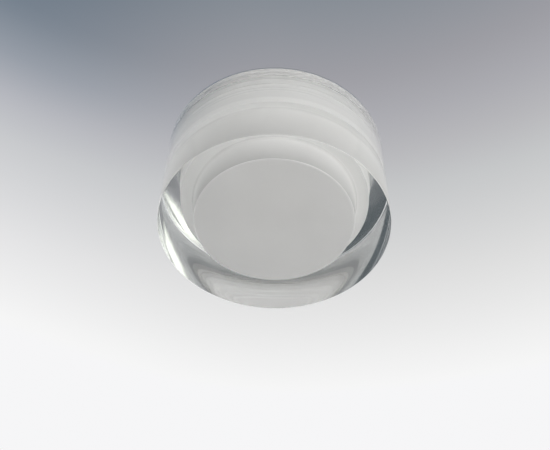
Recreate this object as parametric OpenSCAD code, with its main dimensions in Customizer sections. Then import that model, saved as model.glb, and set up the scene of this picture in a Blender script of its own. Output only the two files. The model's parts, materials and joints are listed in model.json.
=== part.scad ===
// Recessed ceiling downlight with a thick clear acrylic block.
// Millimetres. +Z points up into the ceiling and z = 0 is the ceiling plane, where the
// foam gasket seats. The polished front face of the block looks down, towards -Z.

/* [Acrylic block] */
// Outer diameter of the block
block_d = 80; // [74:0.5:90]
// Height of the block, front face to rear face
block_h = 38.5; // [36:0.5:48]
// Thickness of clear acrylic in front of the pocket
web_t = 5.6; // [3:0.1:8]
// Diameter of the frosted light pocket
pocket_d = 55.5; // [50:0.5:58]
// Diameter of the counterbore that takes the carrier
counterbore_d = 65; // [64:0.5:68]
// Depth of the counterbore from the rear face
counterbore_h = 15.3; // [15:0.1:18]
// Bevel on the outer edges of the block
block_bevel = 0.35; // [0.1:0.05:1]

/* [Carrier and ceiling seat] */
// Thickness of the foam gasket
gasket_t = 0.8; // [0.5:0.1:2]
// Inner diameter of the foam gasket
gasket_in_d = 67; // [66:0.5:70]
// Thickness of the carrier's flange, and of the backing ring's rim
flange_t = 1.2; // [1:0.1:1.6]
// Outer diameter of the carrier's flange, inside the backing ring
flange_d = 65.8; // [65.6:0.1:66]
// Height of the hollow under the polished backing ring
dish_h = 0.9; // [0.5:0.05:0.95]
// Radial gap between the carrier's skirt and the counterbore
skirt_gap = 0.3; // [0.1:0.05:0.5]
// Wall of the carrier's skirt
skirt_wall = 2.7; // [2.5:0.1:3]
// Thickness of wire-like section of each O-ring
o_ring_d = 1.9; // [1.6:0.1:2]

/* [Housing] */
// Diameter of the shoulder that centres the light in the ceiling cut-out
shoulder_d = 60; // [59.8:0.1:61]
// Height of the shoulder above the carrier
shoulder_h = 3; // [2.5:0.1:3.5]
// Outer diameter of the canister
canister_d = 45.8; // [45:0.1:46]
// Wall of the canister
canister_wall = 1.5; // [1.2:0.1:1.6]
// Top of the canister above the ceiling plane
canister_top = 13; // [13:0.5:18]
// Depth of the canister's front plate below the ceiling plane
canister_depth = 12.5; // [12:0.1:13]
// Thickness of the front plate that carries the LED board
plate_t = 2; // [1.5:0.1:2.5]
// Thickness of the rear cover
cover_t = 2; // [1.5:0.1:2.5]
// Diameter of the cable hole through the grommet
cable_d = 6.4; // [5:0.1:7]

/* [LED engine] */
// Diameter of the LED board
board_d = 42; // [40:0.5:42]
// Thickness of the LED board
board_t = 1.6; // [1:0.1:2]
// Thickness of the thermal pad
pad_t = 0.4; // [0.2:0.1:0.5]
// Number of LEDs on the outer ring
outer_leds = 12; // [8:1:14]
// Number of LEDs on the inner ring
inner_leds = 6; // [4:1:8]

/* [Spring arms] */
// Distance of each hinge pin from the centre line
pin_x = 26.6; // [26.5:0.05:26.7]
// Height of each hinge pin above the ceiling plane
pin_z = 8.5; // [8.4:0.05:8.7]
// Diameter of the hinge pins
pin_d = 2; // [1.8:0.1:2.1]
// Length of the arm blade from the pin
arm_len = 11.5; // [10:0.1:11.6]
// Droop of the arm below horizontal at rest, in degrees
arm_droop = 12; // [11:0.5:12.5]
// Thickness of the arm blade
blade_t = 0.8; // [0.6:0.1:0.9]
// Wire diameter of the torsion springs
wire_d = 0.55; // [0.45:0.05:0.6]

/* [Hidden] */
$fn = 96;

// Heights along the axis, from the ceiling plane down
flange_top = -gasket_t;
block_top = flange_top - flange_t;
block_bottom = block_top - block_h;
pocket_end = block_bottom + web_t;
ledge_z = block_top - counterbore_h;
skirt_end = ledge_z + 0.3;
boss_end = -8;
shoulder_top = flange_top + shoulder_h;
plate_front = -canister_depth;
plate_back = plate_front + plate_t;
board_back = plate_front - pad_t;
board_front = board_back - board_t;
cover_top = canister_top + cover_t;

// Radii
block_r = block_d / 2;
flange_r = flange_d / 2;
backing_r = block_r - 0.3;
backing_in_r = flange_r + 0.1;
backing_land = 0.6;
gasket_r = backing_r - 1.2;
skirt_r = counterbore_d / 2 - skirt_gap;
skirt_in_r = skirt_r - skirt_wall;
boss_in_r = canister_d / 2 + 0.3;
canister_r = canister_d / 2;
chamber_r = canister_r - canister_wall;
shoulder_r = shoulder_d / 2;

// O-rings and the fine turned lines beside them
o_ring_z = [-10, -5];
o_ring_mid_r = counterbore_d / 2 - 0.02 - o_ring_d / 2;
o_groove_w = o_ring_d + 0.6;
line_z = [-7.7, -12.6, -13.8, -15.0];
line_w = 0.5;
line_depth = 0.3;

// Fasteners
housing_screw_circle = 27;
housing_screw_angles = [30, 150, 270];
board_screw_circle = 18;
board_screw_angles = [30, 150, 270];
driver_post_circle = 15.5;
driver_post_angles = [75, 180, 250, 352];
cover_post_y = 18.7;
cover_post_r = 2.6;

// Driver chamber
driver_z = -3;
driver_t = 1.6;
driver_top = driver_z + driver_t;
wire_hole = [-6, 10];
wire_r = 0.6;
inlet = [9.5, -9.5];
inlet_r = 4.6;

// Spring clip
pad_x = canister_r + 0.5;
bracket_t = 0.8;
bracket_x = pad_x + bracket_t;
ear_in = 4.7;
ear_out = ear_in + bracket_t;
ear_r = 2.2;
nose_top = pin_z - 1.02;
knuckle_r = 1.85;
knuckle_in = 3.1;
knuckle_out = 4.1;
shoulder_x = 2.35;
coil_r = 1.65;
coil_pitch = wire_d + 0.06;
coil_turns = 7;
coil_start = -1.8;
tail_y = coil_start + coil_turns * coil_pitch;
foot_start = 8;
foot_end = arm_len + 0.7;
foot_t = 2.6;
rivet_z = [3.9, 11.8];

// A ring of rectangular section from z0 up to z1
module ring(r_out, r_in, z0, z1) {
    rotate_extrude() translate([r_in, z0]) square([r_out - r_in, z1 - z0]);
}

// A round rod of radius r from z0 up to z1
module rod(r, z0, z1) {
    translate([0, 0, z0]) cylinder(h = z1 - z0, r = r);
}

// Places its children at each angle on a circle
module around(radius, angles) {
    for (a = angles) rotate([0, 0, a]) translate([radius, 0, 0]) children();
}

// A rod of radius r along Y from y0 to y1, at x and z
module cross_rod(r, x, z, y0, y1) {
    translate([x, y1, z]) rotate([90, 0, 0]) cylinder(h = y1 - y0, r = r);
}

// A pan-head screw whose head sits on z = 0 and rises, with its shank below and a cross recess
module pan_screw(head_r, head_h, shank_r, shank_l) {
    difference() {
        union() {
            rotate_extrude() polygon([[0, 0], [head_r, 0], [head_r, head_h * 0.55],
                [head_r * 0.72, head_h], [0, head_h]]);
            translate([0, 0, -shank_l]) cylinder(h = shank_l + 0.01, r = shank_r);
        }
        for (a = [0, 90]) rotate([0, 0, a])
            translate([-head_r * 0.6, -head_r * 0.12, head_h * 0.45])
                cube([head_r * 1.2, head_r * 0.24, head_h]);
    }
}

// ---- Front block ----

module acrylic_block() {
    b = block_bevel;
    cb_r = counterbore_d / 2;
    color([0.86, 0.89, 0.88, 0.35]) rotate_extrude() polygon([
        [0, block_bottom], [block_r - b, block_bottom], [block_r, block_bottom + b],
        [block_r, block_top - b], [block_r - b, block_top], [cb_r, block_top],
        [cb_r, ledge_z], [pocket_d / 2, ledge_z], [pocket_d / 2, pocket_end], [0, pocket_end]]);
}

// ---- Carrier, seals and light baffle ----

module o_ring(z) {
    rotate_extrude() translate([o_ring_mid_r, z]) circle(r = o_ring_d / 2, $fn = 32);
}

module front_o_ring() { color([0.62, 0.63, 0.63]) o_ring(o_ring_z[0]); }

module rear_o_ring() { color([0.85, 0.86, 0.85]) o_ring(o_ring_z[1]); }

module carrier_ring() {
    groove_r = o_ring_mid_r - o_ring_d / 2 - 0.05;
    color([0.9, 0.9, 0.89]) difference() {
        rotate_extrude() polygon([
            [boss_in_r, flange_top], [flange_r, flange_top], [flange_r, block_top],
            [skirt_r, block_top], [skirt_r, skirt_end + 0.4], [skirt_r - 0.4, skirt_end],
            [skirt_in_r, skirt_end], [skirt_in_r, boss_end], [boss_in_r, boss_end]]);
        for (z = o_ring_z) ring(skirt_r + 1, groove_r, z - o_groove_w / 2, z + o_groove_w / 2);
        for (z = line_z) ring(skirt_r + 1, skirt_r - line_depth, z - line_w / 2, z + line_w / 2);
        around(housing_screw_circle, housing_screw_angles) rod(1.25, boss_end + 1, 1);
    }
}

// A polished ring behind the block's rim, hollowed like a shallow dish so that it throws light
// back through the clear rim
module backing_ring() {
    color([0.78, 0.8, 0.82]) rotate_extrude() polygon([
        [backing_in_r, flange_top], [backing_r, flange_top], [backing_r, block_top],
        [backing_r - backing_land, block_top], [backing_in_r, block_top + dish_h]]);
}

module ceiling_gasket() {
    color([0.93, 0.93, 0.91]) ring(gasket_r, gasket_in_d / 2, -gasket_t, 0);
}

module light_baffle() {
    rim_r = skirt_in_r - 0.2;
    lip_r = board_d / 2 + 0.6;
    z0 = skirt_end + 0.2;
    color([0.95, 0.95, 0.94]) rotate_extrude() polygon([
        [lip_r, board_front - 0.1], [rim_r - 0.7, z0], [rim_r, z0], [rim_r, plate_front + 0.5],
        [rim_r - 1, plate_front + 0.5], [rim_r - 1, z0 + 1.2], [lip_r, board_front + 0.9]]);
}

// ---- Housing ----

module bracket_pad() {
    translate([canister_r - 4, -6.5, shoulder_top])
        cube([4.5, 13, canister_top - shoulder_top]);
}

module housing() {
    color([0.80, 0.81, 0.82]) difference() {
        union() {
            difference() {
                union() {
                    rod(canister_r, plate_front, canister_top);
                    rod(shoulder_r, flange_top, shoulder_top);
                    for (s = [0, 1]) mirror([s, 0, 0]) bracket_pad();
                }
                rod(chamber_r, plate_back, canister_top + 1);
            }
            for (s = [-1, 1]) translate([0, s * cover_post_y, 0])
                intersection() {
                    rod(cover_post_r, plate_back - 0.5, canister_top);
                    translate([0, -s * cover_post_y, 0])
                        rod(chamber_r + 0.5, plate_back - 0.5, canister_top);
                }
            around(driver_post_circle, driver_post_angles) rod(2, plate_back - 0.5, driver_z);
        }
        around(housing_screw_circle, housing_screw_angles) rod(1.6, flange_top - 1, shoulder_top + 1);
        around(board_screw_circle, board_screw_angles) rod(1.2, plate_front - 1, plate_back + 1);
        around(driver_post_circle, driver_post_angles) rod(0.9, driver_z - 4, driver_z + 1);
        for (s = [-1, 1]) translate([0, s * cover_post_y, 0]) rod(1.1, canister_top - 6, canister_top + 1);
        translate([wire_hole[0], wire_hole[1], 0]) rod(2.2, plate_front - 1, plate_back + 1);
        for (s = [-1, 1], z = rivet_z) translate([s * pad_x, 0, z]) rotate([0, 90, 0])
            cylinder(h = 12, r = 0.9, center = true);
    }
}

module housing_screws() {
    color([0.72, 0.73, 0.75]) around(housing_screw_circle, housing_screw_angles)
        translate([0, 0, shoulder_top]) pan_screw(2.7, 1.9, 1.25, 8);
}

// ---- LED engine ----

module thermal_pad() {
    color([0.55, 0.6, 0.66]) difference() {
        rod(board_d / 2 - 0.5, board_back, plate_front);
        around(board_screw_circle, board_screw_angles) rod(1.6, board_back - 1, plate_front + 1);
        translate([wire_hole[0], wire_hole[1], 0]) rod(2.4, board_back - 1, plate_front + 1);
    }
}

module led_board() {
    color([0.94, 0.95, 0.94]) difference() {
        rod(board_d / 2, board_front, board_back);
        around(board_screw_circle, board_screw_angles) rod(1.4, board_front - 1, board_back + 1);
        translate([wire_hole[0], wire_hole[1], 0]) rod(2.0, board_front - 1, board_back + 1);
    }
}

// One surface-mount LED: a white frame with a yellow emitter flush in it
module led_chip() {
    translate([-1.75, -1.4, board_front - 0.8]) cube([3.5, 2.8, 0.8]);
}

module led_chips() {
    color([0.96, 0.88, 0.45]) {
        around(13.6, [for (i = [0 : outer_leds - 1]) (i + 0.5) * 360 / outer_leds]) led_chip();
        around(6.3, [for (i = [0 : inner_leds - 1]) i * 360 / inner_leds]) led_chip();
    }
}

module board_screws() {
    color([0.72, 0.73, 0.75]) around(board_screw_circle, board_screw_angles)
        translate([0, 0, board_front]) mirror([0, 0, 1]) pan_screw(2.1, 1.4, 1.2, 3.6);
}

// Two insulated leads from the driver board down through the plate, bent over the LED board's face
module led_wires() {
    bend = 0.9;
    bend_z = board_front + 0.2;
    color([0.75, 0.1, 0.08]) for (s = [-1, 1])
        translate([wire_hole[0] + s * 0.9, wire_hole[1], bend_z]) {
            cylinder(h = driver_z - bend_z, r = wire_r, $fn = 32);
            translate([0, -bend, 0]) rotate([90, 0, 90]) rotate([0, 0, -90])
                rotate_extrude(angle = 90) translate([bend, 0]) circle(r = wire_r, $fn = 32);
            translate([0, -bend, -bend]) rotate([90, 0, 0]) cylinder(h = 1.1, r = wire_r, $fn = 32);
        }
}

// ---- Driver ----

module driver_board() {
    color([0.10, 0.42, 0.24]) difference() {
        rod(chamber_r - 0.3, driver_z, driver_top);
        for (s = [-1, 1]) translate([0, s * cover_post_y, 0])
            rod(cover_post_r + 0.4, driver_z - 1, driver_top + 1);
        around(driver_post_circle, driver_post_angles) rod(1.2, driver_z - 1, driver_top + 1);
    }
}

module driver_screws() {
    color([0.72, 0.73, 0.75]) around(driver_post_circle, driver_post_angles)
        translate([0, 0, driver_top]) pan_screw(1.8, 1.2, 0.9, 4.5);
}

module driver_capacitor() {
    color([0.12, 0.13, 0.16]) translate([-8, -9, driver_top])
        rotate_extrude() polygon([[0, 0], [4, 0], [4, 10.5], [3.6, 11], [0, 11]]);
}

module driver_transformer() {
    color([0.88, 0.78, 0.2]) translate([-4.5, 1, driver_top]) {
        cube([13, 3, 9]);
        translate([0.5, 3, 1]) cube([12, 5, 7]);
        translate([0, 8, 0]) cube([13, 3, 9]);
    }
}

module driver_choke() {
    color([0.2, 0.2, 0.22]) translate([14.5, 6, driver_top])
        rotate_extrude() polygon([[0, 0], [3, 0], [3, 1], [2.2, 1.4], [2.2, 5.6], [3, 6], [3, 7], [0, 7]]);
}

module driver_chips() {
    color([0.14, 0.14, 0.15]) {
        translate([-17, 3, driver_top]) cube([4.5, 6, 2]);
        translate([-2.6, -15.4, driver_top]) cube([4, 4, 1.6]);
        translate([-1, -6, driver_top]) cube([3.2, 1.6, 0.8]);
        translate([-1, -3.4, driver_top]) cube([3.2, 1.6, 0.8]);
    }
}

// The push-in mains terminal, with its two wire mouths facing up to the cable inlet
module terminal_block() {
    color([0.93, 0.93, 0.9]) translate([inlet[0], inlet[1], driver_top]) rotate([0, 0, 45])
        difference() {
            translate([-6, -4, 0]) cube([12, 8, 8]);
            for (s = [-1, 1]) translate([s * 3, 1.6, 3]) cylinder(h = 6, r = 1.3);
            for (s = [-1, 1]) translate([s * 3, -1.9, 4]) cylinder(h = 5, r = 1.5);
        }
}

module terminal_screws() {
    color([0.78, 0.78, 0.74]) translate([inlet[0], inlet[1], driver_top]) rotate([0, 0, 45])
        for (s = [-1, 1]) translate([s * 3, -1.9, 0]) difference() {
            translate([0, 0, 4]) cylinder(h = 3, r = 1.4);
            translate([-1.5, -0.2, 6.4]) cube([3, 0.4, 1]);
        }
}

// ---- Rear cover and inlet ----

module rear_cover() {
    color([0.82, 0.83, 0.84]) difference() {
        rotate_extrude() polygon([[0, canister_top], [canister_r, canister_top],
            [canister_r, cover_top - 0.6], [canister_r - 0.6, cover_top], [0, cover_top]]);
        for (s = [-1, 1]) translate([0, s * cover_post_y, 0]) rod(1.4, canister_top - 1, cover_top + 1);
        translate([inlet[0], inlet[1], 0]) rod(inlet_r, canister_top - 1, cover_top + 1);
        for (a = [110 : 20 : 190]) rotate([0, 0, a]) translate([8, -0.6, canister_top - 1])
            cube([8, 1.2, cover_t + 2]);
    }
}

module cover_screws() {
    color([0.72, 0.73, 0.75]) for (s = [-1, 1]) translate([0, s * cover_post_y, cover_top])
        pan_screw(2.2, 1.5, 1.1, 7);
}

module cable_grommet() {
    r = cable_d / 2;
    neck_r = inlet_r - 0.05;
    color([0.2, 0.2, 0.2]) translate([inlet[0], inlet[1], 0]) rotate_extrude() polygon([
        [r, canister_top - 1.3], [5.6, canister_top - 1.3], [5.6, canister_top], [neck_r, canister_top],
        [neck_r, cover_top], [6, cover_top], [5.4, cover_top + 1.5], [r, cover_top + 1.5]]);
}

// ---- Spring clips: drawn on the +X side, and mirrored for the left one ----

module side(s) { mirror([s < 0 ? 1 : 0, 0, 0]) children(); }

module ear(y0) {
    difference() {
        union() {
            cross_rod(ear_r, pin_x, pin_z, y0, y0 + bracket_t);
            translate([pad_x, y0, pin_z - 1]) cube([pin_x - pad_x, bracket_t, 1 + ear_r]);
            translate([pad_x, y0, 5]) cube([29.2 - pad_x, bracket_t, nose_top - 5]);
        }
        cross_rod(pin_d / 2, pin_x, pin_z, y0 - 1, y0 + bracket_t + 1);
    }
}

module spring_bracket(s) {
    color([0.75, 0.76, 0.78]) side(s) {
        difference() {
            translate([pad_x, -ear_out, 2.9]) cube([bracket_t, 2 * ear_out, 10]);
            for (z = rivet_z) translate([pad_x - 1, 0, z]) rotate([0, 90, 0]) cylinder(h = 4, r = 0.9);
        }
        ear(ear_in);
        ear(-ear_out);
    }
}

module bracket_rivets() {
    color([0.78, 0.78, 0.8]) for (s = [-1, 1], z = rivet_z) side(s)
        translate([bracket_x, 0, z]) rotate([0, 90, 0]) {
            translate([0, 0, -3]) cylinder(h = 3.1, r = 0.9);
            rotate_extrude() polygon([[0, 0], [1.5, 0], [1.1, 0.55], [0, 0.75]]);
        }
}

module hinge_pin(s) {
    color([0.7, 0.71, 0.73]) side(s) {
        cross_rod(pin_d / 2, pin_x, pin_z, -ear_out, ear_out);
        cross_rod(1.5, pin_x, pin_z, ear_out, ear_out + 0.6);
        cross_rod(1.5, pin_x, pin_z, -ear_out - 0.6, -ear_out);
    }
}

// One turn of spring wire round the pin, at y, sweeping sweep degrees from the start angle
module coil_turn(y, start = 0, sweep = 360) {
    translate([0, y, 0]) rotate([90, 0, 0]) rotate([0, 0, start])
        rotate_extrude(angle = sweep) translate([coil_r, 0]) circle(r = wire_d / 2, $fn = 32);
}

module torsion_spring(s) {
    leg = pin_x - bracket_x - 0.05;
    color([0.68, 0.69, 0.71]) side(s) translate([pin_x, 0, pin_z]) {
        coil_turn(coil_start, 105, 345);
        translate([-leg, coil_start, coil_r]) rotate([0, 90, 0])
            cylinder(h = leg, r = wire_d / 2, $fn = 32);
        for (i = [1 : coil_turns - 1]) coil_turn(coil_start + i * coil_pitch);
    }
}

// The arm's own frame: X along the blade from the pin, turned down to the rest angle
module arm_frame(s) {
    side(s) translate([pin_x, 0, pin_z]) rotate([0, arm_droop, 0]) children();
}

module spring_arm(s) {
    color([0.75, 0.76, 0.78]) arm_frame(s) difference() {
        union() {
            for (y = [-knuckle_out, knuckle_in])
                cross_rod(knuckle_r, 0, 0, y, y + knuckle_out - knuckle_in);
            translate([0, -knuckle_out, -blade_t / 2]) cube([shoulder_x + 1, 2 * knuckle_out, blade_t]);
            translate([shoulder_x, -ear_out, -blade_t / 2])
                cube([arm_len - shoulder_x, 2 * ear_out, blade_t]);
        }
        cross_rod(pin_d / 2 + 0.06, 0, 0, -10, 10);
        translate([-3, -knuckle_in, -2]) cube([3 + shoulder_x, 2 * knuckle_in, 4]);
        translate([5.4, -1.5, -2]) cube([1.2, 3, 4]);
    }
}

// The spring's last turn and its moving end, which turn with the arm
module spring_tail(s) {
    reach = 6.2;
    drop = coil_r - blade_t / 2 - wire_d / 2 - 0.02;
    color([0.68, 0.69, 0.71]) arm_frame(s) {
        coil_turn(tail_y);
        translate([0, tail_y, coil_r]) rotate([0, 90 + atan(drop / reach), 0])
            cylinder(h = norm([reach, drop]), r = wire_d / 2, $fn = 32);
    }
}

// A moulded sleeve over the end of the blade
module arm_foot(s) {
    color([0.93, 0.93, 0.92]) arm_frame(s) difference() {
        translate([foot_start, 0, 0]) rotate([90, 0, 0])
            linear_extrude(2 * ear_out + 0.6, center = true) polygon([
                [0, -foot_t / 2 + 0.5], [0.8, -foot_t / 2], [foot_end - foot_start - 0.8, -foot_t / 2],
                [foot_end - foot_start, -foot_t / 2 + 0.8], [foot_end - foot_start, foot_t / 2 - 0.8],
                [foot_end - foot_start - 0.8, foot_t / 2], [0.8, foot_t / 2], [0, foot_t / 2 - 0.5]]);
        translate([foot_start - 1, -ear_out, -blade_t / 2])
            cube([arm_len - foot_start + 1, 2 * ear_out, blade_t]);
    }
}

acrylic_block();
front_o_ring();
rear_o_ring();
carrier_ring();
backing_ring();
ceiling_gasket();
light_baffle();
housing();
housing_screws();
thermal_pad();
led_board();
led_chips();
board_screws();
led_wires();
driver_board();
driver_screws();
driver_capacitor();
driver_transformer();
driver_choke();
driver_chips();
terminal_block();
terminal_screws();
rear_cover();
cover_screws();
cable_grommet();
spring_bracket(-1);  // left_spring_bracket
spring_bracket(1);  // right_spring_bracket
bracket_rivets();
hinge_pin(-1);  // left_hinge_pin
hinge_pin(1);  // right_hinge_pin
torsion_spring(-1);  // left_torsion_spring
torsion_spring(1);  // right_torsion_spring
spring_arm(-1);  // left_spring_arm
spring_arm(1);  // right_spring_arm
spring_tail(-1);  // left_spring_tail
spring_tail(1);  // right_spring_tail
arm_foot(-1);  // left_arm_foot
arm_foot(1);  // right_arm_foot
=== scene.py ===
import json
import math

import bmesh
import bpy
from mathutils import Matrix, Quaternion, Vector


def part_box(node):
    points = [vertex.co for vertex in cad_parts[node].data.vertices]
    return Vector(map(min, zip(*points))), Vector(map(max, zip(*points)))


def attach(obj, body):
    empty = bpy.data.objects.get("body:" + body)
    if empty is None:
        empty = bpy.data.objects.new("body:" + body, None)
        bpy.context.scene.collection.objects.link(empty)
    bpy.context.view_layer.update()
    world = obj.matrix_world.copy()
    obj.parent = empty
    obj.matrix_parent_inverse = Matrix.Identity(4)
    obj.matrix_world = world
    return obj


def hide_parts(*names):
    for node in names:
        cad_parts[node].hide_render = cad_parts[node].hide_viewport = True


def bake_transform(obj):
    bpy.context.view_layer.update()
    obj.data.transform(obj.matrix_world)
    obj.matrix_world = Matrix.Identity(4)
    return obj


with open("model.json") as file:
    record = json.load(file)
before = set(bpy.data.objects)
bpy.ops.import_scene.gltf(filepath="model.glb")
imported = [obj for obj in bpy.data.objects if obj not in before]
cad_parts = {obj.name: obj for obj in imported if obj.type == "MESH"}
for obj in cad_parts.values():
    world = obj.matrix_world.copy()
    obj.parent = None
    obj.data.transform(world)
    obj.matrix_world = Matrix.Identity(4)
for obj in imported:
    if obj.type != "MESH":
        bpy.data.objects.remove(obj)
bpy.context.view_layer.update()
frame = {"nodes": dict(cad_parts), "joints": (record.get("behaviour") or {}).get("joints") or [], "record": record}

# A recessed ceiling downlight. The CAD holds every part's place, and this script gives the looks:
# the clear block, its frosted light pocket, the metals and plastics, the wound springs,
# the pale studio and the camera below. Lengths are in metres.

MM = 0.001
SEGMENTS = 256
SHARP_DEGREES = 28
ACRYLIC_IOR = 1.49

NODES = frame["nodes"]
RECORD = frame["record"]


# ---------- Places worked out from the frame ----------

BLOCK_LOW, BLOCK_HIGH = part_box("acrylic_block")
BLOCK_RADIUS = BLOCK_HIGH.x
BLOCK_DIAMETER = 2 * BLOCK_RADIUS
FRONT_Z = BLOCK_LOW.z
REAR_Z = BLOCK_HIGH.z


def section_corners(node):
    """The (radius, height) corners of a turned CAD node's section, lowest first."""
    corners = {(round(math.hypot(v.co.x, v.co.y), 5), round(v.co.z, 5))
               for v in NODES[node].data.vertices}
    return sorted(corners, key=lambda corner: (corner[1], corner[0]))


def block_section():
    """The pocket's and the counterbore's radius, and the heights of the pocket's end and the ledge."""
    near = 0.1 * MM
    inner = [(r, z) for r, z in section_corners("acrylic_block")
             if r < BLOCK_RADIUS - 2 * MM and z > FRONT_Z + MM]
    pocket_end = min(z for r, z in inner)
    pocket_radius = max(r for r, z in inner if z < pocket_end + near)
    bore_radius = max(r for r, z in inner if z > REAR_Z - near)
    ledge = min(z for r, z in inner if r > bore_radius - near)
    return pocket_radius, bore_radius, pocket_end, ledge


POCKET_RADIUS, BORE_RADIUS, POCKET_END, LEDGE_Z = block_section()


# ---------- Materials ----------

def new_material(name):
    """A material with one Principled shader. Returns the material, its node tree and the shader."""
    material = bpy.data.materials.new(name)
    material.use_nodes = True
    tree = material.node_tree
    shader = tree.nodes["Principled BSDF"]
    return material, tree, shader


def add_noise(tree, scale, detail=4.0, stretch=(1.0, 1.0, 1.0)):
    """A noise texture in object space, with scale in cycles per metre. Returns its value socket."""
    place = tree.nodes.new("ShaderNodeTexCoord")
    mapping = tree.nodes.new("ShaderNodeMapping")
    mapping.inputs["Scale"].default_value = stretch
    noise = tree.nodes.new("ShaderNodeTexNoise")
    noise.inputs["Scale"].default_value = scale
    noise.inputs["Detail"].default_value = detail
    tree.links.new(place.outputs["Object"], mapping.inputs["Vector"])
    tree.links.new(mapping.outputs["Vector"], noise.inputs["Vector"])
    return noise.outputs["Fac"]


# The part of a noise texture's range that most of its values fall in.
NOISE_RANGE = (0.3, 0.7)


def ramp_colour(tree, value, low, high):
    """Turns a noise's value into a colour between low and high."""
    ramp = tree.nodes.new("ShaderNodeValToRGB")
    for element, position, colour in zip(ramp.color_ramp.elements, NOISE_RANGE, (low, high)):
        element.position = position
        element.color = (*colour, 1.0)
    tree.links.new(value, ramp.inputs["Fac"])
    return ramp.outputs["Color"]


def ramp_value(tree, value, low, high):
    """Maps the middle of a noise's range to low..high."""
    spread = tree.nodes.new("ShaderNodeMapRange")
    spread.inputs["From Min"].default_value = NOISE_RANGE[0]
    spread.inputs["From Max"].default_value = NOISE_RANGE[1]
    spread.inputs["To Min"].default_value = low
    spread.inputs["To Max"].default_value = high
    tree.links.new(value, spread.inputs["Value"])
    return spread.outputs["Result"]


def uneven_roughness(tree, shader, value, middle, spread):
    """Lets a noise move the shader's roughness either side of its middle value."""
    tree.links.new(ramp_value(tree, value, middle - spread, middle + spread), shader.inputs["Roughness"])


def add_bump(tree, shader, value, height, strength, base=None):
    """Bumps the shader's surface by a height in metres. base is the normal it starts from."""
    bump = tree.nodes.new("ShaderNodeBump")
    bump.inputs["Distance"].default_value = height
    bump.inputs["Strength"].default_value = strength
    tree.links.new(value, bump.inputs["Height"])
    if base is not None:
        tree.links.new(base, bump.inputs["Normal"])
    tree.links.new(bump.outputs["Normal"], shader.inputs["Normal"])


def soft_edges(tree, radius):
    """Normals that round off sharp edges by a small radius."""
    bevel = tree.nodes.new("ShaderNodeBevel")
    bevel.samples = 4
    bevel.inputs["Radius"].default_value = radius
    return bevel.outputs["Normal"]


def shaded(colour, share):
    """A colour made lighter or darker by a share of itself."""
    return tuple(min(1.0, c * (1 + share)) for c in colour)


def clear_acrylic():
    """Polished acrylic: a clear body with the faint polishing marks of a buffed face."""
    material, tree, shader = new_material("clear_acrylic")
    shader.inputs["Base Color"].default_value = (0.992, 0.992, 0.986, 1.0)
    shader.inputs["Transmission Weight"].default_value = 1.0
    shader.inputs["IOR"].default_value = ACRYLIC_IOR
    marks = add_noise(tree, 180.0, stretch=(1.0, 1.0, 3.0))
    uneven_roughness(tree, shader, marks, 0.01, 0.01)
    return material


def paint_shade_by_height(tree, colour, z_dark, z_full, share):
    """Paints shade into a colour by height: darkens it by a share towards the height z_dark, and leaves it as it
    is at z_full.
    """
    place = tree.nodes.new("ShaderNodeTexCoord")
    split = tree.nodes.new("ShaderNodeSeparateXYZ")
    painted_shade = tree.nodes.new("ShaderNodeMapRange")
    painted_shade.inputs["From Min"].default_value = z_dark
    painted_shade.inputs["From Max"].default_value = z_full
    painted_shade.inputs["To Min"].default_value = share
    painted_shade.inputs["To Max"].default_value = 0.0
    blend = tree.nodes.new("ShaderNodeMix")
    blend.data_type = "RGBA"
    blend.inputs["B"].default_value = (0.0, 0.0, 0.0, 1.0)
    tree.links.new(place.outputs["Object"], split.inputs["Vector"])
    tree.links.new(split.outputs["Z"], painted_shade.inputs["Value"])
    tree.links.new(painted_shade.outputs["Result"], blend.inputs["Factor"])
    tree.links.new(colour, blend.inputs["A"])
    return blend.outputs["Result"]


def satin_acrylic(name, low, high, clearness, roughness, painted_shade=None):
    """A frosted surface inside the block. clearness is the share of light that passes through it.
    The last argument, if given, holds the three arguments of the shade painted into the colour by height."""
    material, tree, shader = new_material(name)
    shader.inputs["Transmission Weight"].default_value = clearness
    shader.inputs["IOR"].default_value = ACRYLIC_IOR
    tint = ramp_colour(tree, add_noise(tree, 60.0), low, high)
    # Painted shade: where it is given, the frosted colour is darkened by height.
    if painted_shade is not None:
        tint = paint_shade_by_height(tree, tint, *painted_shade)
    tree.links.new(tint, shader.inputs["Base Color"])
    grain = add_noise(tree, 2500.0, detail=6.0)
    uneven_roughness(tree, shader, grain, roughness, 0.05)
    turned = add_noise(tree, 900.0, stretch=(0.01, 0.01, 1.0))
    add_bump(tree, shader, turned, 0.05 * MM, 0.5)
    return material


def moulded(name, colour, roughness, grain_height=0.02 * MM, specular=0.5, sheen=0.0):
    """Moulded plastic or rubber: fine spark-eroded grain and slightly uneven colour and gloss."""
    material, tree, shader = new_material(name)
    cloud = add_noise(tree, 90.0)
    tint = ramp_colour(tree, cloud, shaded(colour, -0.05), shaded(colour, 0.04))
    tree.links.new(tint, shader.inputs["Base Color"])
    patches = add_noise(tree, 400.0)
    uneven_roughness(tree, shader, patches, roughness, 0.06)
    shader.inputs["Specular IOR Level"].default_value = specular
    shader.inputs["Sheen Weight"].default_value = sheen
    add_bump(tree, shader, add_noise(tree, 3000.0, detail=3.0), grain_height, 0.5,
             soft_edges(tree, 0.2 * MM))
    return material


def metal(name, colour, roughness, stretch=(1.0, 1.0, 1.0), grain=1500.0, height=0.01 * MM, spread=0.07):
    """Bare or plated metal. stretch draws the grain out along one direction, as brushing does."""
    material, tree, shader = new_material(name)
    shader.inputs["Metallic"].default_value = 1.0
    cloud = add_noise(tree, 120.0)
    tint = ramp_colour(tree, cloud, shaded(colour, -0.08), shaded(colour, 0.05))
    tree.links.new(tint, shader.inputs["Base Color"])
    lines = add_noise(tree, grain, stretch=stretch)
    uneven_roughness(tree, shader, lines, roughness, spread)
    add_bump(tree, shader, lines, height, 0.6, soft_edges(tree, 0.1 * MM))
    return material


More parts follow.
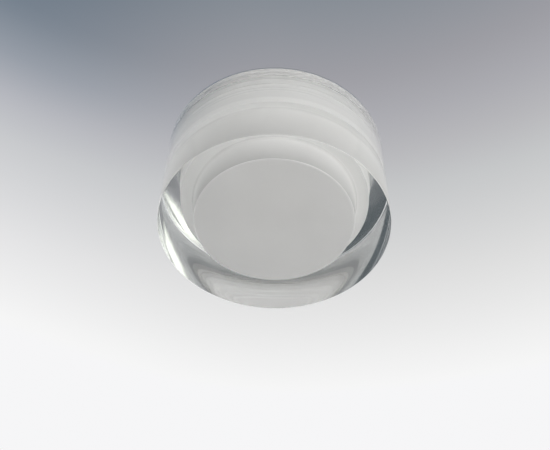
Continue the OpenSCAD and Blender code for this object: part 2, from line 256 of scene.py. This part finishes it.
def record_colour(slot):
    """A slot's own colour in the record, as three numbers."""
    found = [m for m in RECORD["materials"] if m["slot"] == slot]
    return tuple(found[0]["base_color"][:3])


# How each moulded or rubber slot differs from plain moulded plastic.
MOULDED = {
    "grey_silicone": dict(roughness=0.45, sheen=0.1),
    "white_silicone": dict(roughness=0.45, sheen=0.1),
    "white_carrier_plastic": dict(roughness=0.5),
    "gasket_foam": dict(roughness=0.9, grain_height=0.15 * MM, specular=0.2, sheen=0.3),
    "reflector_plastic": dict(roughness=0.35),
    "thermal_silicone": dict(roughness=0.7),
    "board_solder_white": dict(roughness=0.35),
    "led_phosphor": dict(roughness=0.4),
    "wire_red_pvc": dict(roughness=0.35),
    "board_green": dict(roughness=0.35),
    "capacitor_sleeve": dict(roughness=0.25),
    "transformer_tape": dict(roughness=0.4),
    "ferrite_black": dict(roughness=0.7, grain_height=0.05 * MM),
    "chip_epoxy": dict(roughness=0.6),
    "terminal_plastic": dict(roughness=0.35),
    "inlet_rubber": dict(roughness=0.75, grain_height=0.04 * MM, specular=0.3, sheen=0.2),
    "foot_nylon": dict(roughness=0.45),
}

# How each metal slot is finished.
METALS = {
    "polished_steel": dict(roughness=0.17, spread=0.03, height=0.002 * MM),
    "cast_aluminium": dict(roughness=0.5, grain=900.0, height=0.05 * MM),
    "cover_aluminium": dict(roughness=0.38, stretch=(1.0, 14.0, 14.0), height=0.012 * MM),
    "zinc_plated_steel": dict(roughness=0.28),
    "spring_steel": dict(roughness=0.3, stretch=(1.0, 12.0, 12.0)),
    "spring_wire": dict(roughness=0.25),
}


def slot_materials():
    """One detailed material for each material slot of the record."""
    made = {"clear_acrylic": clear_acrylic()}
    for slot, finish in MOULDED.items():
        made[slot] = moulded(slot, record_colour(slot), **finish)
    for slot, finish in METALS.items():
        made[slot] = metal(slot, record_colour(slot), **finish)
    return made


MATERIALS = slot_materials()
# One frosted acrylic, painted at three brightnesses: the disc in the middle, the pocket wall darker as painted
# shade, and the bore wall lighter as painted light.
SATIN_DISC = satin_acrylic("satin_disc", (0.87, 0.865, 0.86), (0.91, 0.905, 0.90), 0.1, 0.6)
# Painted shade: the pocket wall darkens towards the pocket's end, by a share of 0.30 at the end and none at the
# ledge.
SATIN_POCKET_PAINTED_SHADE = satin_acrylic("satin_pocket_painted_shade", (0.82, 0.82, 0.81), (0.86, 0.86, 0.85), 0.1, 0.6,
                             (POCKET_END, LEDGE_Z, 0.30))
# Painted shade and highlight: the bore wall is darkened by a share of 0.07 from 3.2 mm above the ledge up to the
# rear. This leaves a lighter painted highlight band within 2.4 mm of the ledge.
SATIN_BORE_PAINTED_LIGHT = satin_acrylic("satin_bore_painted_light", (0.96, 0.96, 0.95), (0.98, 0.98, 0.97), 0.08, 0.6,
                           (LEDGE_Z + 3.2 * MM, LEDGE_Z + 2.4 * MM, 0.07))


def dress_cad_nodes():
    """Gives each CAD node the material of its slot."""
    for part in RECORD["subparts"]:
        piece = NODES[part["node"]]
        piece.material_slots[0].material = MATERIALS[part["material_slot"]]


dress_cad_nodes()


# ---------- Mesh helpers ----------

def link(name, mesh):
    """A new object in the scene that shows a mesh."""
    piece = bpy.data.objects.new(name, mesh)
    bpy.context.scene.collection.objects.link(piece)
    return piece


def rounded(outline, steps=4):
    """Replaces each outline point (r, z, corner) that has a corner radius with an arc of that radius.

    The outline is a closed loop. Returns (r, z, index of the side that starts there)."""
    made = []
    count = len(outline)
    for i, (r, z, corner) in enumerate(outline):
        here = Vector((r, z))
        if corner == 0:
            made.append((r, z, i))
            continue
        before = Vector(outline[i - 1][:2]) - here
        after = Vector(outline[(i + 1) % count][:2]) - here
        half = before.angle(after) / 2
        reach = corner / math.tan(half)
        centre = here + (before.normalized() + after.normalized()).normalized() * corner / math.sin(half)
        start = here + before.normalized() * reach - centre
        end = here + after.normalized() * reach - centre
        turn = start.angle_signed(end)
        for k in range(steps + 1):
            spoke = Matrix.Rotation(-turn * k / steps, 2) @ start
            side = i - 1 if k == 0 else i
            made.append((centre.x + spoke.x, centre.y + spoke.y, side % count))
    return made


def lathe(name, outline, side_materials, segments=SEGMENTS):
    """A solid of revolution round Z. outline is a closed loop of (radius, height, side), going
    anticlockwise seen with the radius to the right. side_materials gives each side's material slot."""
    mesh = bmesh.new()
    rings = []
    for r, z, _ in outline:
        if r == 0:
            rings.append([mesh.verts.new((0.0, 0.0, z))])
            continue
        rings.append([mesh.verts.new((r * math.cos(a), r * math.sin(a), z))
                      for a in (2 * math.pi * k / segments for k in range(segments))])
    for i, (_, _, side) in enumerate(outline):
        low, high = rings[i], rings[(i + 1) % len(outline)]
        if len(low) == 1 and len(high) == 1:
            continue
        for k in range(segments):
            n = (k + 1) % segments
            if len(low) == 1:
                corners = [low[0], high[n], high[k]]
            elif len(high) == 1:
                corners = [low[k], low[n], high[0]]
            else:
                corners = [low[k], low[n], high[n], high[k]]
            face = mesh.faces.new(corners)
            face.material_index = side_materials[side]
            face.smooth = True
    bmesh.ops.recalc_face_normals(mesh, faces=mesh.faces)
    data = bpy.data.meshes.new(name)
    mesh.to_mesh(data)
    mesh.free()
    data.set_sharp_from_angle(angle=math.radians(SHARP_DEGREES))
    return link(name, data)


# ---------- The clear block ----------

# Shallow rings turned into the counterbore's wall: middle height, width and depth of each.
BORE_RINGS = (
    (-4.1 * MM, 1.5 * MM, 0.14 * MM),
    (-7.0 * MM, 1.2 * MM, 0.36 * MM),
    (-9.2 * MM, 0.9 * MM, 0.12 * MM),
    (-10.6 * MM, 0.9 * MM, 0.12 * MM),
)


def turned_wall(z_from, z_to, radius, rows=90):
    """Outline points down the counterbore's frosted wall, with its shallow turned rings."""
    points = []
    for k in range(1, rows):
        z = z_from + (z_to - z_from) * k / rows
        extra = 0.0
        for middle, width, depth in BORE_RINGS:
            off = abs(z - middle) / (width / 2)
            if off < 1:
                extra += depth * (0.5 + 0.5 * math.cos(math.pi * off))
        points.append((radius + extra, z, 0.0))
    return points


def clear_block():
    """The acrylic block: polished outside, frosted inside, with softly broken edges.
    Its rear face stops just short of the ring and the carrier that it bears on."""
    front_edge = 0.35 * MM
    rear_edge = 0.12 * MM
    rear = REAR_Z - 0.02 * MM
    ledge_edge = 1.2 * MM
    pocket_edge = 0.6 * MM
    outline = [
        (0.0, FRONT_Z, 0.0),
        (BLOCK_RADIUS, FRONT_Z, front_edge),
        (BLOCK_RADIUS, rear, rear_edge),
        (BORE_RADIUS, rear, 0.0),
        *turned_wall(rear, LEDGE_Z, BORE_RADIUS),
        (BORE_RADIUS, LEDGE_Z, 0.0),
        (POCKET_RADIUS, LEDGE_Z, ledge_edge),
        (POCKET_RADIUS, POCKET_END, pocket_edge),
        (0.0, POCKET_END, 0.0),
    ]
    polished, bore, pocket, disc = range(4)
    outside = [polished] * 3
    inside = [pocket, disc, disc]
    side_materials = outside + [bore] * (len(outline) - len(outside) - len(inside)) + inside
    block = lathe("clear_block", rounded(outline), side_materials)
    for material in (MATERIALS["clear_acrylic"], SATIN_BORE_PAINTED_LIGHT, SATIN_POCKET_PAINTED_SHADE, SATIN_DISC):
        block.data.materials.append(material)
    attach(block, "fitting")
    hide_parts("acrylic_block")


clear_block()


# ---------- The rings behind the block ----------

def dress_ring(piece, node, slot):
    """Gives a turned piece its material and puts it in its CAD node's place."""
    piece.data.materials.append(MATERIALS[slot])
    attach(piece, "fitting")
    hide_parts(node)


def polished_ring():
    """The polished ring behind the clear rim: its hollowed underside mirrors the studio."""
    near = 0.01 * MM
    corners = section_corners("backing_ring")
    low = corners[0][1]
    high = corners[-1][1]
    outer = max(r for r, z in corners)
    inner = min(r for r, z in corners)
    land = min(r for r, z in corners if z < low + near)
    dish_top = min(z for r, z in corners if r < inner + near)
    broken = 0.08 * MM
    outline = [
        (inner, dish_top, 0.0),
        (land, low, 0.0),
        (outer, low, broken),
        (outer, high, 2 * broken),
        (inner, high, broken),
    ]
    piece = lathe("polished_ring", rounded(outline), [0] * len(outline))
    dress_ring(piece, "backing_ring", "polished_steel")


def foam_ring():
    """The foam gasket, cut with slightly rounded edges."""
    low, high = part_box("ceiling_gasket")
    outer = high.x
    inner = min(r for r, z in section_corners("ceiling_gasket"))
    soft = 0.25 * MM
    outline = [
        (inner, low.z, soft),
        (outer, low.z, soft),
        (outer, high.z, soft),
        (inner, high.z, soft),
    ]
    piece = lathe("foam_ring", rounded(outline), [0] * len(outline))
    dress_ring(piece, "ceiling_gasket", "gasket_foam")


polished_ring()
foam_ring()


# ---------- The wound springs ----------

COIL_RADIUS = 1.65 * MM
COIL_PITCH = 0.61 * MM
ARM_DROOP_DEGREES = 12
BLADE_THICKNESS = 0.8 * MM
TAIL_REACH = 6.2 * MM
TAIL_GAP = 0.02 * MM


def wire_mesh(name, path, radius, sides=12):
    """A round wire along a path of points, closed at both ends."""
    mesh = bmesh.new()
    rings = []
    last = len(path) - 1
    for i, here in enumerate(path):
        ahead = path[min(i + 1, last)] - path[max(i - 1, 0)]
        ahead.normalize()
        out = ahead.cross(Vector((0, 1, 0))).normalized()
        up = ahead.cross(out)
        rings.append([mesh.verts.new(here + radius * (math.cos(a) * out + math.sin(a) * up))
                      for a in (2 * math.pi * k / sides for k in range(sides))])
    for low, high in zip(rings, rings[1:]):
        for k in range(sides):
            n = (k + 1) % sides
            mesh.faces.new((low[k], low[n], high[n], high[k])).smooth = True
    mesh.faces.new(rings[0])
    mesh.faces.new(rings[-1])
    bmesh.ops.recalc_face_normals(mesh, faces=mesh.faces)
    data = bpy.data.meshes.new(name)
    mesh.to_mesh(data)
    mesh.free()
    return link(name, data)


def spring_path(sign, pin, start_y, end_y, leg, tip_height, steps=36):
    """The fixed leg, the turns round the pin and the leg on the arm. sign is the side, -1 or 1.
    leg is the fixed leg's length, and tip_height the other leg's end above the pin, along the arm."""
    droop = math.radians(ARM_DROOP_DEGREES)
    turns = round((end_y - start_y) / COIL_PITCH)
    sweep = 2 * math.pi * turns + droop
    count = turns * steps
    wire = [(-leg, start_y, COIL_RADIUS)]
    for k in range(count + 1):
        angle = math.pi / 2 - sweep * k / count
        y = start_y + (end_y - start_y) * k / count
        wire.append((COIL_RADIUS * math.cos(angle), y, COIL_RADIUS * math.sin(angle)))
    wire.append((TAIL_REACH * math.cos(droop) + tip_height * math.sin(droop), end_y,
                 tip_height * math.cos(droop) - TAIL_REACH * math.sin(droop)))
    return [Vector((pin.x + sign * x, y, pin.z + z)) for x, y, z in wire]


def wound_spring(side, sign):
    """One continuous torsion spring, from its leg on the bracket to its leg on the arm."""
    fixed_low, fixed_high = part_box(f"{side}_torsion_spring")
    tail_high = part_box(f"{side}_spring_tail")[1]
    wire_radius = (fixed_high.z - fixed_low.z - 2 * COIL_RADIUS) / 2
    joint = [j for j in frame["joints"] if j["name"] == f"{side}_arm_hinge"][0]
    pin = Vector(joint["pos_m"])
    start_y = fixed_low.y + wire_radius
    end_y = tail_high.y - wire_radius
    leg = abs(pin.x) - min(abs(fixed_low.x), abs(fixed_high.x))
    tip_height = BLADE_THICKNESS / 2 + wire_radius + TAIL_GAP
    path = spring_path(sign, pin, start_y, end_y, leg, tip_height)
    piece = wire_mesh(f"{side}_wound_spring", path, wire_radius)
    piece.data.materials.append(MATERIALS["spring_wire"])
    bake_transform(piece)
    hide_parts(f"{side}_torsion_spring", f"{side}_spring_tail")


wound_spring("left", -1)
wound_spring("right", 1)


# ---------- Stage, light and camera ----------

def floor():
    """A plain pale floor, well below the light and the camera. The clear block mirrors and refracts
    the sky in its place."""
    drop = 0.6
    radius = 4.0
    mesh = bmesh.new()
    bmesh.ops.create_circle(mesh, cap_ends=True, radius=radius, segments=96,
                            matrix=Matrix.Translation((0, 0, FRONT_Z - drop)))
    data = bpy.data.meshes.new("floor")
    mesh.to_mesh(data)
    mesh.free()
    piece = link("floor", data)
    material, tree, shader = new_material("floor_paint")
    tint = ramp_colour(tree, add_noise(tree, 2.0), (0.80, 0.80, 0.80), (0.84, 0.84, 0.84))
    tree.links.new(tint, shader.inputs["Base Color"])
    shader.inputs["Roughness"].default_value = 0.8
    data.materials.append(material)
    piece.visible_transmission = False
    piece.visible_glossy = False


# The sky's colour at each elevation in degrees, in four directions seen from above: behind the
# light and in front of it, where the camera is, and to the left and right.
SKY_BACK_LEFT = (
    (-90, (1.00, 1.00, 1.00)),
    (-71, (0.60, 0.60, 0.60)),
    (-65, (0.07, 0.09, 0.10)),
    (-31, (0.07, 0.09, 0.10)),
    (-16, (1.60, 1.60, 1.60)),
    (5, (2.40, 2.40, 2.38)),
    (26, (2.00, 2.00, 1.98)),
    (34, (1.00, 1.00, 1.00)),
    (39, (0.92, 0.92, 0.92)),
    (44, (0.78, 0.78, 0.79)),
    (50, (0.58, 0.59, 0.61)),
    (52.5, (0.47, 0.48, 0.52)),
    (55, (0.31, 0.34, 0.39)),
    (58, (0.18, 0.22, 0.27)),
    (63, (0.105, 0.15, 0.20)),
    (90, (0.10, 0.14, 0.19)),
)
SKY_BACK_RIGHT = (
    (-90, (1.20, 1.20, 1.20)),
    (-70, (1.10, 1.10, 1.10)),
    (-60, (0.30, 0.30, 0.31)),
    (-40, (0.30, 0.30, 0.31)),
    (-20, (0.90, 0.90, 0.89)),
    (5, (1.00, 1.00, 0.98)),
    (26, (1.05, 1.05, 1.04)),
    (34, (1.00, 1.00, 1.00)),
    (39, (0.87, 0.87, 0.87)),
    (44, (0.73, 0.73, 0.73)),
    (50, (0.56, 0.57, 0.58)),
    (52.5, (0.48, 0.48, 0.50)),
    (55, (0.41, 0.41, 0.44)),
    (58, (0.34, 0.34, 0.37)),
    (63, (0.245, 0.270, 0.305)),
    (90, (0.22, 0.24, 0.28)),
)
SKY_FRONT_LEFT = (
    (-90, (1.00, 1.00, 1.00)),
    (-60, (1.05, 1.05, 1.05)),
    (-20, (0.42, 0.42, 0.42)),
    (20, (0.35, 0.35, 0.35)),
    (50, (0.45, 0.46, 0.47)),
    (90, (0.20, 0.22, 0.24)),
)
SKY_FRONT_RIGHT = (
    (-90, (1.00, 1.00, 1.00)),
    (-60, (1.90, 1.90, 1.90)),
    (-20, (2.90, 2.89, 2.87)),
    (20, (1.80, 1.79, 1.78)),
    (50, (0.50, 0.50, 0.50)),
    (90, (0.20, 0.22, 0.24)),
)

# Between which values of a direction's X, or Y, one part of the sky blends into the next.
BACK_BLEND_X = (-0.34, 0.00)
FRONT_BLEND_X = (-0.80, 0.70)
FRONT_TO_BACK_Y = (-0.35, 0.02)

# The brightest that the camera itself sees the sky.
PALE_BACKDROP = (0.92, 0.92, 0.93, 1.0)


def sky_ramp(tree, height, stops):
    """A colour ramp over height, which is 0 straight down and 1 straight up. Returns its colour."""
    ramp = tree.nodes.new("ShaderNodeValToRGB")
    elements = ramp.color_ramp.elements
    while len(elements) < len(stops):
        elements.new(0.5)
    for element, (elevation, colour) in zip(elements, stops):
        element.position = (1 + math.sin(math.radians(elevation))) / 2
        element.color = (*colour, 1.0)
    tree.links.new(height, ramp.inputs["Fac"])
    return ramp.outputs["Color"]


def smooth_step(tree, value, start, end):
    """0 below start, 1 above end, and smooth between."""
    step = tree.nodes.new("ShaderNodeMapRange")
    step.interpolation_type = "SMOOTHSTEP"
    step.inputs["From Min"].default_value = start
    step.inputs["From Max"].default_value = end
    tree.links.new(value, step.inputs["Value"])
    return step.outputs["Result"]


def blend_colours(tree, factor, first, second):
    """The first colour where factor is 0, and the second where it is 1."""
    blend = tree.nodes.new("ShaderNodeMix")
    blend.data_type = "RGBA"
    tree.links.new(factor, blend.inputs["Factor"])
    tree.links.new(first, blend.inputs["A"])
    tree.links.new(second, blend.inputs["B"])
    return blend.outputs["Result"]


def backdrop_world():
    """A studio sky: near white low down, grey overhead, and bluer and darker towards the left.
    In front, behind the camera, it is a bright soft surround, which the camera itself sees as
    a plain pale backdrop."""
    world = bpy.data.worlds.new("studio")
    bpy.context.scene.world = world
    world.use_nodes = True
    tree = world.node_tree
    place = tree.nodes.new("ShaderNodeTexCoord")
    split = tree.nodes.new("ShaderNodeSeparateXYZ")
    tree.links.new(place.outputs["Generated"], split.inputs["Vector"])
    rise = tree.nodes.new("ShaderNodeMapRange")
    rise.inputs["From Min"].default_value = -1.0
    tree.links.new(split.outputs["Z"], rise.inputs["Value"])
    height = rise.outputs["Result"]
    behind = blend_colours(tree, smooth_step(tree, split.outputs["X"], *BACK_BLEND_X),
                           sky_ramp(tree, height, SKY_BACK_LEFT), sky_ramp(tree, height, SKY_BACK_RIGHT))
    before = blend_colours(tree, smooth_step(tree, split.outputs["X"], *FRONT_BLEND_X),
                           sky_ramp(tree, height, SKY_FRONT_LEFT), sky_ramp(tree, height, SKY_FRONT_RIGHT))
    whole = blend_colours(tree, smooth_step(tree, split.outputs["Y"], *FRONT_TO_BACK_Y), before, behind)
    seen = tree.nodes.new("ShaderNodeMix")
    seen.data_type = "RGBA"
    seen.blend_type = "DARKEN"
    path = tree.nodes.new("ShaderNodeLightPath")
    tree.links.new(path.outputs["Is Camera Ray"], seen.inputs["Factor"])
    tree.links.new(whole, seen.inputs["A"])
    seen.inputs["B"].default_value = PALE_BACKDROP
    tree.links.new(seen.outputs["Result"], tree.nodes["Background"].inputs["Color"])


def soft_light(name, place, side, power, colour):
    """A square soft box aimed at the block, unseen by the camera itself."""
    data = bpy.data.lights.new(name, "AREA")
    data.shape = "RECTANGLE"
    data.size = side
    data.size_y = side
    data.energy = power
    data.color = colour
    lamp = bpy.data.objects.new(name, data)
    lamp.location = place
    aim = Vector((0, 0, (FRONT_Z + REAR_Z) / 2)) - lamp.location
    lamp.rotation_mode = "QUATERNION"
    lamp.rotation_quaternion = aim.to_track_quat("-Z", "Y")
    lamp.visible_camera = False
    bpy.context.scene.collection.objects.link(lamp)


def heading(azimuth, elevation):
    """A direction from its azimuth off +Y towards +X and its elevation, in degrees."""
    turn = math.radians(azimuth)
    rise = math.radians(elevation)
    return Vector((math.sin(turn) * math.cos(rise), math.cos(turn) * math.cos(rise), math.sin(rise)))


def studio_lights():
    """One small key light, low on the right and a little behind, faintly yellow-green."""
    distance = 0.5
    azimuth = 64
    elevation = -55
    side = 0.17
    power = 0.14
    colour = (0.98, 1.0, 0.86)
    soft_light("key_right", distance * heading(azimuth, elevation), side, power, colour)


def camera():
    """Looks up at the light from below and in front, as someone standing under a ceiling does."""
    place_in_diameters = Vector((0.03915, -2.4124, -2.6523))
    elevation = math.radians(48.02)
    azimuth = math.radians(0.84)
    roll = math.radians(1.135)
    data = bpy.data.cameras.new("camera")
    data.sensor_width = 36.0
    data.lens = 54.87
    data.clip_start = 0.01
    piece = bpy.data.objects.new("camera", data)
    piece.location = Vector((0, 0, FRONT_Z)) + place_in_diameters * BLOCK_DIAMETER
    forward = Vector((-math.sin(azimuth) * math.cos(elevation),
                      math.cos(azimuth) * math.cos(elevation), math.sin(elevation)))
    level = forward.to_track_quat("-Z", "Y")
    piece.rotation_mode = "QUATERNION"
    piece.rotation_quaternion = level @ Quaternion((0, 0, 1), roll)
    bpy.context.scene.collection.objects.link(piece)
    bpy.context.scene.camera = piece


def render_settings():
    """Enough bounces for light to find its way through the block."""
    scene = bpy.context.scene
    scene.view_settings.view_transform = "Standard"
    scene.view_settings.look = "None"
    scene.cycles.max_bounces = 24
    scene.cycles.transmission_bounces = 24
    scene.cycles.glossy_bounces = 12
    scene.cycles.diffuse_bounces = 6
    scene.cycles.use_denoising = True


floor()
backdrop_world()
studio_lights()
camera()
render_settings()
